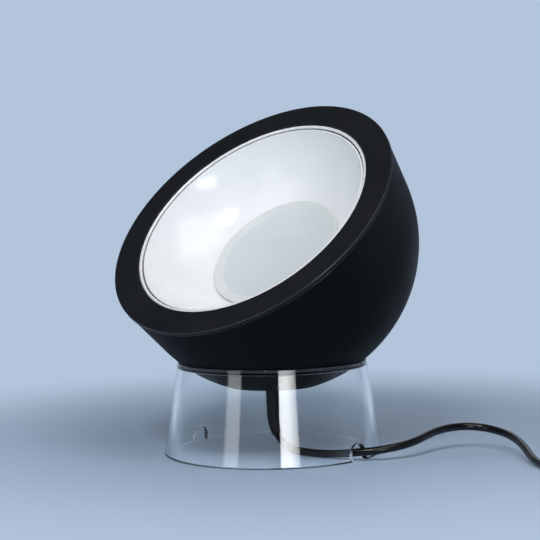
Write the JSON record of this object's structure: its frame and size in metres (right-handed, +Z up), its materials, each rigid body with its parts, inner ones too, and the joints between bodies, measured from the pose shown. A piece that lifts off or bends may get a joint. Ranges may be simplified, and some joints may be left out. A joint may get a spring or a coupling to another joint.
{
  "type": "globe table lamp",
  "caption": "Table lamp whose open, ball-shaped black head lies in a clear tapered glass ring and can be aimed, with a white reflector, an opal diffuser and a corded switch.",
  "frame": {"origin": "centre of the glass foot, on the table", "axes": "+Z up, -Y the way the mouth faces, +X the side the lead leaves on"},
  "size_m": [0.4764, 0.2662, 0.2682],
  "materials": {
    "glass": "clear, polished",
    "silicone": "matte",
    "black_paint": "matte powder coat",
    "satin_black": "satin",
    "bright_trim": "polished",
    "plain_steel": "plain",
    "white_gloss": "gloss",
    "opal": "opal, fine matte",
    "white_plastic": "matte",
    "white_board": "solder mask",
    "led_phosphor": "phosphor",
    "pad_grey": "matte",
    "bare_aluminium": "extruded",
    "circuit_green": "solder mask",
    "component_black": "matte",
    "brass": "plain",
    "wire_red": "insulation",
    "lead_black": "smooth sheath",
    "boot_black": "matte",
    "black_plastic": "fine grain",
    "rocker_plastic": "satin",
    "pin_metal": "nickel plated"
  },
  "bodies": {
    "base": {"glass_base": "glass", "cord_drop": "lead_black", "cord_tube": "lead_black", "cord_tail": "lead_black", "cord_coil": "lead_black", "coil_ties": "black_plastic", "plug_relief": "boot_black", "plug_body": "black_plastic", "plug_pins": "pin_metal", "switch_lower": "black_plastic", "switch_upper": "black_plastic", "switch_screws": "plain_steel", "switch_contacts": "brass", "rocker_pin": "plain_steel"},
    "seat": {"seat_ring": "silicone"},
    "head": {"head_shell": "black_paint", "mouth_ring": "plain_steel", "front_bezel": "satin_black", "bezel_clips": "plain_steel", "trim_ring": "bright_trim", "reflector": "white_gloss", "reflector_screws": "plain_steel", "diffuser": "opal", "diffuser_ring": "white_plastic", "led_board": "white_board", "led_chips": "led_phosphor", "thermal_pad": "pad_grey", "heat_sink": "bare_aluminium", "heat_sink_screws": "plain_steel", "driver_case": "white_plastic", "driver_lid": "white_plastic", "driver_board": "circuit_green", "driver_parts": "component_black", "driver_screws": "plain_steel", "terminal_block": "white_plastic", "terminal_screws": "brass", "led_wires": "wire_red", "lead_inner": "lead_black", "cable_gland": "black_plastic", "gland_nut": "black_plastic", "strain_relief": "boot_black"},
    "rocker": {"switch_rocker": "rocker_plastic"}
  },
  "joints": [
    {"name": "head_swivel", "type": "hinge", "parent": "base", "child": "seat", "pos_m": [0, 0, 0], "axis": [0, 0, 1], "range_deg": [-60, 60], "deforming": ["cord_drop"]},
    {"name": "head_tilt", "type": "hinge", "parent": "seat", "child": "head", "pos_m": [0, 0, 0.16048], "axis": [1, 0, 0], "range_deg": [-15, 3], "deforming": ["cord_drop"]},
    {"name": "rocker_tip", "type": "hinge", "parent": "base", "child": "rocker", "pos_m": [0.289, 0.036, 0.014], "axis": [0, 1, 0], "range_deg": [0, 14]}
  ]
}
